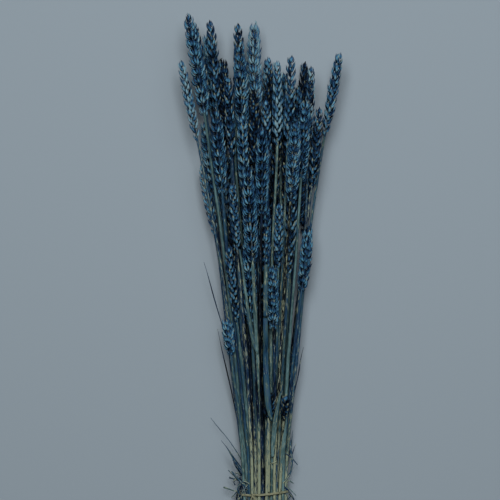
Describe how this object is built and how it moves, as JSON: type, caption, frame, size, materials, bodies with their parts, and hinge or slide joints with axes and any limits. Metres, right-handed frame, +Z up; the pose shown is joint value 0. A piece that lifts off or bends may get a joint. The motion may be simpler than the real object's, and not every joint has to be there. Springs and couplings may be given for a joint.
{
  "type": "tied bunch of wheat ears",
  "caption": "Dried wheat on long straws, dyed dark blue, gathered into a slim bunch that fans out towards its ears and is tied low down with straw twine. It lies flat.",
  "frame": {"origin": "middle of the flat underside of the tie, where it rests on the surface", "axes": "+Y along the straws from the cut ends to the ears, +X across the bunch, +Z up from the surface"},
  "size_m": [0.1695, 0.602, 0.0755],
  "materials": {
    "dyed_wheat": "dry plant fibre, dyed dark blue, matt with a faint sheen on the scales",
    "tie_straw": "dry straw twine, matt"
  },
  "bodies": {
    "root": {"tie": "tie_straw", "wheat_stalk_01": "dyed_wheat", "wheat_stalk_03": "dyed_wheat", "wheat_stalk_04": "dyed_wheat", "wheat_stalk_05": "dyed_wheat", "wheat_stalk_08": "dyed_wheat", "wheat_stalk_12": "dyed_wheat", "wheat_stalk_15": "dyed_wheat", "wheat_stalk_16": "dyed_wheat", "wheat_stalk_17": "dyed_wheat", "wheat_stalk_18": "dyed_wheat", "wheat_stalk_19": "dyed_wheat", "wheat_stalk_20": "dyed_wheat", "wheat_stalk_21": "dyed_wheat", "wheat_stalk_22": "dyed_wheat", "wheat_stalk_23": "dyed_wheat", "wheat_stalk_24": "dyed_wheat", "wheat_stalk_25": "dyed_wheat", "wheat_stalk_26": "dyed_wheat", "wheat_stalk_27": "dyed_wheat", "wheat_stalk_28": "dyed_wheat", "wheat_stalk_30": "dyed_wheat", "wheat_stalk_31": "dyed_wheat", "wheat_stalk_33": "dyed_wheat", "wheat_stalk_35": "dyed_wheat", "wheat_stalk_36": "dyed_wheat", "wheat_stalk_37": "dyed_wheat", "wheat_stalk_38": "dyed_wheat", "wheat_stalk_39": "dyed_wheat", "wheat_stalk_40": "dyed_wheat", "wheat_stalk_41": "dyed_wheat", "wheat_stalk_43": "dyed_wheat", "wheat_stalk_44": "dyed_wheat", "wheat_stalk_45": "dyed_wheat", "wheat_stalk_46": "dyed_wheat", "wheat_stalk_47": "dyed_wheat", "wheat_stalk_49": "dyed_wheat", "wheat_stalk_51": "dyed_wheat", "wheat_stalk_52": "dyed_wheat", "wheat_stalk_53": "dyed_wheat", "wheat_stalk_54": "dyed_wheat", "wheat_stalk_56": "dyed_wheat", "wheat_stalk_57": "dyed_wheat", "wheat_stalk_58": "dyed_wheat", "wheat_stalk_59": "dyed_wheat", "wheat_stalk_60": "dyed_wheat", "wheat_stalk_62": "dyed_wheat", "wheat_stalk_64": "dyed_wheat", "wheat_stalk_65": "dyed_wheat", "wheat_twin_stalk_02": "dyed_wheat", "wheat_twin_stalk_06": "dyed_wheat", "wheat_twin_stalk_09": "dyed_wheat", "wheat_twin_stalk_10": "dyed_wheat", "wheat_twin_stalk_29": "dyed_wheat", "wheat_twin_stalk_32": "dyed_wheat", "wheat_twin_stalk_34": "dyed_wheat", "wheat_twin_stalk_42": "dyed_wheat", "wheat_twin_stalk_48": "dyed_wheat"}
  },
  "joints": []
}
